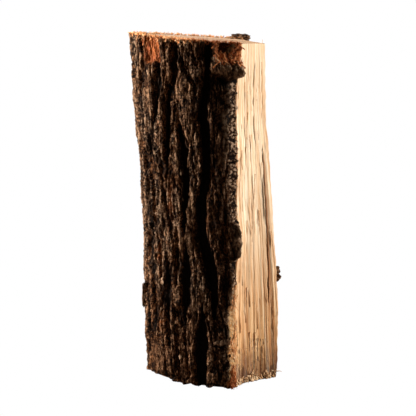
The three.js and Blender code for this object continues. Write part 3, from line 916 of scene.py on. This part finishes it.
def wood_finish():
    shop = Shop("split wood")
    grain = shop.kept("grain", "Vector")
    dark, rind, sawn, stain, check, heart_side = (
        shop.kept(k) for k in ("dark", "rind", "sawn", "stain", "check", "heart_side"))
    streak = shop.speckle(grain, 420.0, 5.0, 0.75, up=0.006)
    broad = shop.speckle(grain, 75.0, 2.0, 0.5, up=0.006)
    fine = shop.speckle(grain, 1100.0, 3.0, 0.65, up=0.016)
    broken = shop.speckle(grain, 200.0, 3.0, up=0.05).between(0.46, 0.62)
    pits = shop.speckle(grain, 700.0, 2.0, 0.6, up=0.14)
    cluster = shop.speckle(grain, 45.0, 2.0)
    up = shop.node("ShaderNodeSeparateXYZ", {}, {0: grain}, output="Z")
    value = streak * 0.62 + fine * 0.40 + broad * 0.16 - 0.03
    pale = shop.ramp(value, [(0.42, (0.42, 0.19, 0.075)), (0.48, (0.74, 0.46, 0.25)),
                             (0.55, (0.92, 0.68, 0.44)), (0.64, (1.0, 0.90, 0.72))])
    low = shop.ramp(value, [(0.42, (0.20, 0.062, 0.016)), (0.49, (0.52, 0.215, 0.068)),
                            (0.57, (0.80, 0.42, 0.165)), (0.67, (0.98, 0.71, 0.40))])
    # Darker and more orange low on the split face, paler up it: partly the wood's own colour, partly
    # painted light falling off towards the foot.
    face = shop.blend(up.between(0.02, 0.25), low, pale)
    foot = 1.0 - (up + (cluster - 0.5) * 0.09).between(0.002, 0.060)
    brown = (pits * 0.7 + streak * 0.3 + (cluster - 0.5) * 0.5).between(0.64, 0.72)
    specks = (pits + (cluster - 0.5) * 1.1 - up * 2.6).between(0.54, 0.60)
    dots = shop.speckle(grain, 430.0, 2.0, 0.7, up=0.45)
    dots = (dots + (cluster - 0.5) * 0.5 - up * 2.2).between(0.54, 0.60)
    high = up.between(0.22, 0.38)
    lines = shop.hairlines(grain, 0.004, 120.0, 0.5, 110.0).between(0.0, 0.9)
    thin = shop.hairlines(grain, 0.003, 340.0, 0.5, 45.0).between(0.0, 1.0)
    pale_and_highlight_lines = shop.hairlines(grain, 0.004, 260.0, 0.47, 60.0).between(0.0, 1.0)
    face = shop.layers(
        face,
        (foot * (2.0 - streak * 2.4), (0.15, 0.046, 0.013)),
        (brown * 0.5, (0.24, 0.10, 0.038)),
        (specks * 0.85, (0.07, 0.024, 0.009)),
        (dots * 0.7, (0.10, 0.035, 0.012)),
        (high * (1.15 - streak * 1.7), (0.58, 0.34, 0.17)),
        (lines * broken * (0.55 + high * 0.35), (0.28, 0.12, 0.045)),
        (thin * 0.32, (0.42, 0.21, 0.09)),
        # Thin pale lines up the grain, partly painted highlight on the fibres.
        (pale_and_highlight_lines * (1.0 - broken) * 0.45, (1.0, 0.93, 0.78)),
        (heart_side * (0.25 + (broad - 0.3) * 0.8), (0.54, 0.29, 0.14)),
        (stain * (0.6 + streak * 0.5), (0.34, 0.13, 0.04)),
        # Painted shade in the cracks of the split faces.
        (dark * 0.94, (0.022, 0.009, 0.004)),
    )

    # The sawn ends: year rings round the heart, saw marks and drying checks, with painted shade near black
    # in the checks.
    flat = shop.stretch(grain, 0.0)
    reach = shop.node("ShaderNodeVectorMath", {"operation": "LENGTH"}, {0: flat}, output="Value")
    wobble = shop.speckle(flat, 16.0, 3.0)
    years = reach + (wobble - 0.5) * 0.012
    spacing = shop.node("ShaderNodeTexNoise", {"noise_dimensions": "1D"},
                        {"W": years, "Scale": 520.0, "Detail": 3.0, "Roughness": 0.7})
    ring = spacing.between(0.40, 0.60)
    saw = shop.speckle(shop.stretch(grain, 1.0, aside=0.2), 420.0, 3.0, 0.6)
    rough_cut = shop.speckle(flat, 700.0, 3.0, 0.65)
    end = shop.ramp(ring * 0.30 + saw * 0.45 + rough_cut * 0.40,
                    [(0.30, (0.90, 0.66, 0.42)), (0.5, (0.76, 0.47, 0.245)), (0.72, (0.46, 0.225, 0.09))])
    heart = 1.0 - (reach + (wobble - 0.5) * 0.02).between(0.022, 0.05)
    greyed = shop.speckle(flat, 35.0, 3.0).between(0.45, 0.7)
    end = shop.layers(end, (heart * 0.45, (0.34, 0.15, 0.06)), (greyed * 0.3, (0.42, 0.27, 0.16)),
                      (check * 0.95, (0.03, 0.013, 0.006)))
    face = shop.blend(sawn, face, end)
    inner = shop.ramp(fine * 0.5 + streak * 0.5, [(0.38, (0.20, 0.06, 0.018)), (0.5, (0.62, 0.29, 0.11)),
                                                 (0.62, (0.88, 0.57, 0.30))])
    face = shop.blend(rind * 0.85, face, inner)
    relief = streak * 0.9 + fine * 0.4 - brown * 0.3
    relief = relief * (1.0 - sawn) + (saw * 0.6 + rough_cut * 0.6) * sawn
    return shop.finish(face, 0.74 - 0.1 * streak, shop.bump(relief, 0.6, 0.0009), 0.28)


def plain_fibre(name, dark_colour, mid_colour, light_colour):
    shop = Shop(name)
    here = shop.place()
    along = shop.speckle(here, 900.0, 3.0, 0.6, up=0.08)
    blotch = shop.speckle(here, 90.0, 2.0)
    colour = shop.ramp(along * 0.65 + blotch * 0.35,
                       [(0.36, dark_colour), (0.5, mid_colour), (0.64, light_colour)])
    return shop.finish(colour, 0.82 - 0.1 * along, shop.bump(along, 0.5, 0.0006), 0.25)


# ---------------------------------------------------------------- loose flakes and splinters
def take_mesh(obj):
    """Points and faces of a finished shape, whose object is then thrown away."""
    points = np.array([v.co[:] for v in obj.data.vertices])
    faces = [list(f.vertices) for f in obj.data.polygons]
    bpy.data.objects.remove(obj, do_unlink=True)
    return points, faces


def start_shape():
    bpy.ops.object.select_all(action="DESELECT")


def flake_shape():
    """A thin curled chip of bark, 6 by 16 millimetres before it is sized."""
    start_shape()
    bpy.ops.mesh.primitive_grid_add(x_subdivisions=3, y_subdivisions=6, size=1.0)
    chip = bpy.context.object
    bpy.ops.object.mode_set(mode="EDIT")
    bpy.ops.transform.resize(value=(6.0, 16.0, 1.0))
    bpy.ops.object.mode_set(mode="OBJECT")
    for v in chip.data.vertices:
        x, y, _ = v.co
        narrow = 1 - 0.55 * abs(y / 8) ** 2.2
        v.co.x = x * narrow + 0.7 * math.sin(y * 1.7)
        v.co.y = y + 1.2 * math.sin(x * 2.3 + 0.6)
        v.co.z = 0.10 * x * x + 0.012 * y * y + 0.25 * math.sin(x * 3.1 + y)
    wall = chip.modifiers.new("wall", "SOLIDIFY")
    wall.thickness = 1.1
    wall.offset = 0.0
    bpy.context.view_layer.objects.active = chip
    chip.select_set(True)
    bpy.ops.object.modifier_apply(modifier=wall.name)
    return take_mesh(chip)


def sliver_shape(bow):
    """A thin pointed splinter, 30 millimetres long and 1.5 wide before it is sized, bowed towards Z."""
    start_shape()
    bpy.ops.mesh.primitive_cone_add(vertices=5, radius1=0.75, radius2=0.12, depth=30.0,
                                    end_fill_type="NGON", rotation=(math.radians(-90), 0, 0))
    sliver = bpy.context.object
    bpy.ops.object.transform_apply(location=False, rotation=True, scale=False)
    bpy.ops.object.mode_set(mode="EDIT")
    bpy.ops.mesh.select_mode(type="EDGE")
    bpy.ops.mesh.select_all(action="DESELECT")
    bpy.ops.object.mode_set(mode="OBJECT")
    for edge in sliver.data.edges:
        a, b = (sliver.data.vertices[i].co.y for i in edge.vertices)
        edge.select = abs(a - b) > 1.0
    bpy.ops.object.mode_set(mode="EDIT")
    bpy.ops.mesh.subdivide(number_cuts=4)
    bpy.ops.object.mode_set(mode="OBJECT")
    for v in sliver.data.vertices:
        h = v.co.y / 15
        v.co.x = v.co.x * 1.4 + 0.25 * math.sin(h * 7)
        v.co.z = v.co.z * 0.7 + bow * h * h + 0.15 * math.sin(h * 9 + 1)
    return take_mesh(sliver)


def spread(name, shape, places, coat, node, values=None):
    """Copies of one shape at many places, joined as one piece."""
    base, base_faces = shape
    points, faces, count = [], [], 0
    for matrix in places:
        turned = base @ np.array(matrix.to_3x3()).T + np.array(matrix.translation)
        turned[:, 2] += max(0.0, 0.05 - turned[:, 2].min())  # none reaches below the floor
        points.append(turned)
        faces += [[i + count for i in face] for face in base_faces]
        count += len(base)
    kept = {k: np.repeat(v, len(base)) for k, v in (values or {}).items()}
    piece = add_mesh(name, np.vstack(points), faces, kept)
    work = bmesh.new()
    work.from_mesh(piece.data)
    bmesh.ops.recalc_face_normals(work, faces=work.faces)
    work.to_mesh(piece.data)
    work.free()
    belongs(piece, node, coat)


def stand(at, out, up, size, tilt=0.0, roll=0.0):
    """A place for a copy: its flat side faces out, its length runs up, tilted and rolled in degrees."""
    out, up = Vector(out).normalized(), Vector(up).normalized()
    side = up.cross(out).normalized()
    up = out.cross(side).normalized()
    turn = Matrix((side, up, out)).transposed()
    turn = turn @ Matrix.Rotation(math.radians(tilt), 3, "X") @ Matrix.Rotation(math.radians(roll), 3, "Z")
    full = turn @ Matrix.Diagonal(Vector(size))
    return Matrix.Translation(Vector(at)) @ full.to_4x4()


def drop_at(deg, z):
    """Drop of the bark's face at one place."""
    return float(bark_face(np.array([deg]), np.array([float(z)]))[0][0])


def inside_bark(deg, inward, t):
    """The X and Y of a point so many millimetres in from the highest ridges of the bark."""
    return (float(v) for v in on_section(deg, radius(np.array([deg]), t)[0] - inward, t))


def bark_place(deg, z, lift):
    """A point on the bark's face, and the way it looks."""
    x, y = inside_bark(deg, min(drop_at(deg, z), BARK_THICK - THINNEST) - lift, z / LOG_LENGTH)
    a = math.radians(deg)
    return (x, y, height_of(x, z / LOG_LENGTH)), (math.cos(a), math.sin(a), 0.0)


def loose_flakes(coat):
    """Small chips that have lifted from the ridges of the bark, and a row of them above the level crack."""
    luck = np.random.default_rng(11)
    deg, z = luck.uniform(62, 276, 900), luck.uniform(12, 372, 900)
    lifted = (bark_face(deg, z)[0] < 2.4) & ((deg < 168) | (deg > 203))
    spots = list(zip(deg[lifted], z[lifted]))[:190]
    loose = len(spots)
    spots += [(261 + 1.3 * i, LEVEL_CRACK + 3.5 + i % 3) for i in range(9)]
    places, hollow, tone = [], [], []
    for i, (d, h) in enumerate(spots):
        at, out = bark_place(d, h, 0.0 if i < loose else 0.6)
        k = luck.uniform(0.3, 0.75)
        size = (k * luck.uniform(0.6, 1.3), k * luck.uniform(0.5, 1.2), k)
        lean = (luck.uniform(-0.12, 0.12) - 0.055, luck.uniform(-0.1, 0.1), 1.0)
        roll, tilt = luck.uniform(-12, 12), luck.choice([-1, 1]) * luck.uniform(2, 12)
        places.append(stand(at, out, lean, size, tilt, roll))
        hollow.append(luck.uniform(0.05, 0.35) if i < loose else -0.15)
        tone.append(luck.uniform(0, 1))
    spread("bark_flakes", flake_shape(), places, coat, "bark", {"hollow": hollow, "tone": tone})


def chunk(name, at, out, size, seed, coat):
    """A rough lump of bark that stands out from the rest."""
    start_shape()
    bpy.ops.mesh.primitive_cube_add(size=2.0)
    lump = bpy.context.object
    bpy.ops.object.mode_set(mode="EDIT")
    bpy.ops.mesh.subdivide(number_cuts=11)
    bpy.ops.object.mode_set(mode="OBJECT")
    points, faces = take_mesh(lump)
    round_off = points / np.linalg.norm(points, axis=1)[:, None] * 1.25
    points = mix(points, round_off, 0.55)
    x, y, z = points.T
    wave = ripple(x * 1.6 + y * 2.1, z * 1.8 + y, seed)
    wave = wave + 0.6 * ripple(x * 4 + y * 3, z * 4 - y * 2, seed + 1)
    points = points * (1 + 0.22 * wave)[:, None]
    # Painted shade: the dents of the lump are set darker.
    hollow = np.clip(0.35 - 0.5 * wave, 0, 1)
    place = np.array(stand(at, out, (0, 0, 1), size))
    points = points @ place[:3, :3].T + place[:3, 3]
    shown = {"hollow": hollow, "tone": 0 * hollow + 0.3, "crumb": 0 * hollow + 0.25}
    belongs(add_mesh(name, points, faces, shown), "bark", coat)


def face_point(w, z, lift, behind=False):
    """A point on a split face, w of the way along it from the near corner to the far one."""
    t = z / LOG_LENGTH
    back, front, ridge = corners(np.array([t]))
    if behind:
        start, end = ridge, on_section(back, radius(back, t) - BARK_THICK, t)
        inset = 2.2 * math.sin(math.pi * w)
    else:
        start, end = on_section(front, radius(front, t) - BARK_THICK, t), ridge
        inset = float(split_profile(np.array([w]), np.array([t]), np.array([float(z)]))[0][0])
    (ax, ay), (cx, cy) = ((float(p[0][0]), float(p[1][0])) for p in (start, end))
    span = math.hypot(cx - ax, cy - ay)
    out = ((cy - ay) / span, -(cx - ax) / span)
    x, y = mix(ax, cx, w) + out[0] * (lift - inset), mix(ay, cy, w) + out[1] * (lift - inset)
    return (x, y, height_of(x, t)), (*out, 0.0)


def splinters(coat):
    """Fibres along the split: most lie on the face, and the lowest stand ragged at its foot."""
    luck = np.random.default_rng(5)
    places = []
    for _ in range(70):
        at, out = face_point(luck.uniform(0.04, 0.98), luck.uniform(25, 350), 0.15)
        up = (luck.uniform(-0.012, 0.012) - 0.055, 0.0, luck.choice([-1, 1]))
        size = (luck.uniform(0.3, 0.8), luck.uniform(0.5, 2.2), luck.uniform(0.3, 0.8))
        places.append(stand(at, out, up, size, luck.uniform(-0.5, 1.0)))
    for i in range(12):
        middle = (i + luck.uniform(0.1, 0.9)) / 12
        lean, ragged = luck.normal(0, 0.5), luck.uniform(0.35, 1.1)
        for _ in range(luck.integers(2, 8)):
            w = float(np.clip(middle + luck.normal(0, 0.022), 0.01, 0.99))
            at, out = face_point(w, 0.6 + luck.exponential(3.4 * ragged), luck.uniform(-0.2, 0.8))
            up = (lean + luck.normal(0, 0.4), luck.normal(0, 0.4), luck.choice([-1, 1]))
            k = luck.uniform(0.8, 3.4) * ragged
            size = (k, luck.uniform(0.08, 0.38) * ragged, k)
            places.append(stand(at, out, up, size, luck.uniform(3, 34)))
    for _ in range(60):
        foot = luck.random() < 0.6
        z = 1.0 + luck.exponential(3.0) if foot else luck.uniform(20, 370)
        at, out = face_point(luck.uniform(0.03, 0.97), z, 0.0, behind=True)
        k = luck.uniform(0.5, 1.8) if foot else luck.uniform(0.3, 0.7)
        size = (k, luck.uniform(0.1, 0.3) if foot else luck.uniform(0.5, 2.0), k)
        up = (0, luck.normal(0, 0.4 if foot else 0.02), luck.choice([-1, 1]))
        places.append(stand(at, out, up, size, luck.uniform(3, 20) if foot else luck.uniform(-0.5, 1.0)))
    # One splinter stands out past the far ridge at the foot.
    at, out = face_point(0.985, 8, 0.0)
    places.append(stand(at, (0.3, -1, 0), (1.0, 0.1, -0.16), (1.3, 0.5, 1.1)))
    spread("face_splinters", sliver_shape(0.5), places, coat, "wood")


def strand(luck, deg, z, inward, wild, size):
    """A place for one strand of torn inner bark, set into the bark by so many millimetres."""
    at, out = bark_place(deg, z, -inward)
    up = (luck.normal(0, wild), luck.normal(0, wild * 0.6), luck.choice([-1, 1]))
    k = luck.uniform(0.45, 1.1) * size
    return stand(at, out, up, (k, luck.uniform(0.16, 0.42) * size, k), luck.uniform(1, 18))


def rim_shred(luck, deg):
    """A place for one shred on the upper rim of the bark: lying on it, or hanging over its edge."""
    drop = min(drop_at(deg, 392), BARK_THICK - 2)
    inward = luck.uniform(-0.3, BARK_THICK + 1)
    x, y = inside_bark(deg, max(inward, drop), 1.0)
    z = height_of(x, 1.0)
    size = (luck.uniform(0.6, 1.5), luck.uniform(0.1, 0.26), luck.uniform(0.6, 1.5))
    if inward < 2:
        a = math.radians(deg)
        up = (luck.normal(0, 0.8), luck.normal(0, 0.8), -1.0)
        at, out, tilt = (x, y, z - luck.uniform(0, 3)), (math.cos(a), math.sin(a), 0), luck.uniform(-5, 15)
    else:
        a = luck.uniform(0, 2 * math.pi)
        at, out, up, tilt = (x, y, z + 0.3), (0, 0, 1), (math.cos(a), math.sin(a), 0), luck.uniform(2, 22)
    return stand(at, out, up, size, tilt)


def foot_strands(luck, low, high, count):
    """Places for strands on the broken edge of the bark beside the wood, near the foot."""
    places = []
    for _ in range(count):
        z = luck.uniform(low, high)
        deg = float(np.interp(z, [0, 60, 120], [272, 275, 277.5])) + luck.uniform(-1.5, 3.0)
        x, y = inside_bark(deg, luck.uniform(2, 11), z / LOG_LENGTH)
        up = (luck.normal(0, 0.22), luck.normal(0, 0.15), luck.choice([-1, 1]))
        k = luck.uniform(0.5, 1.2)
        size = (k, luck.uniform(0.2, 0.6), k)
        places.append(stand((x, y, z), (0.75, -0.66, 0), up, size, luck.uniform(2, 20)))
    return places


def red_fibres(coat):
    """Torn inner bark in the knocked-off patches and beside the wood at the foot."""
    luck = np.random.default_rng(23)
    places = foot_strands(luck, 2, 24, 55)
    while len(places) < 165:
        deg, z = luck.uniform(273, 296), luck.uniform(369, 393)
        if math.hypot((deg - HOLE[0]) / 5.2, (z - HOLE[1]) / 9) > 1.05:
            places.append(strand(luck, deg, z, 0.0, 0.6, 1.0))
    for _ in range(45):
        places.append(strand(luck, luck.uniform(206, 222), luck.uniform(367, 393), 0.0, 0.12, 1.0))
    # The ragged left border of the patch on the left.
    for _ in range(22):
        places.append(strand(luck, luck.normal(206.5, 0.9), luck.uniform(368, 395), -0.5, 0.35, 0.9))
    places += [rim_shred(luck, luck.uniform(252, 296)) for _ in range(90)]
    spread("inner_bark_fibres", sliver_shape(1.6), places, coat, "bark")


def saw_fringe(coat):
    """Pale shreds that the saw left along the upper rim of the bark, and some beside the wood low down."""
    luck = np.random.default_rng(41)
    places = [rim_shred(luck, luck.uniform(198, 262)) for _ in range(260)]
    places += [rim_shred(luck, luck.uniform(60, 200)) for _ in range(170)]
    places += foot_strands(luck, 22, 118, 55)
    spread("saw_fringe", sliver_shape(1.6), places, coat, "bark")


studio()
bark_coat = bark_finish()
for side in ("front", "back"):
    belongs(bark_sheet(side), "bark", bark_coat)
belongs(make_wood(), "wood", wood_finish())
loose_flakes(bark_coat)
chunk("corner_flake", (80.5, 74.3, 104.0), (0.25, 0.97, 0), (12.0, 9.5, 3.4), 7, bark_coat)
chunk("upper_chunk", (44.0, 76.0, 393.0), (0.6, 0.8, 0), (10.5, 4.0, 6.0), 13, bark_coat)
chunk("left_curl", (-69.0, -8.0, 94.0), (-1, -0.1, 0), (3.2, 12.5, 3.0), 9, bark_coat)
splinters(plain_fibre("pale fibre", (0.24, 0.10, 0.035), (0.66, 0.39, 0.19), (0.97, 0.80, 0.57)))
red_fibres(plain_fibre("red inner bark", (0.10, 0.022, 0.007), (0.45, 0.125, 0.034), (0.86, 0.38, 0.14)))
saw_fringe(plain_fibre("shredded bark", (0.55, 0.18, 0.05), (0.88, 0.44, 0.18), (0.98, 0.78, 0.52)))
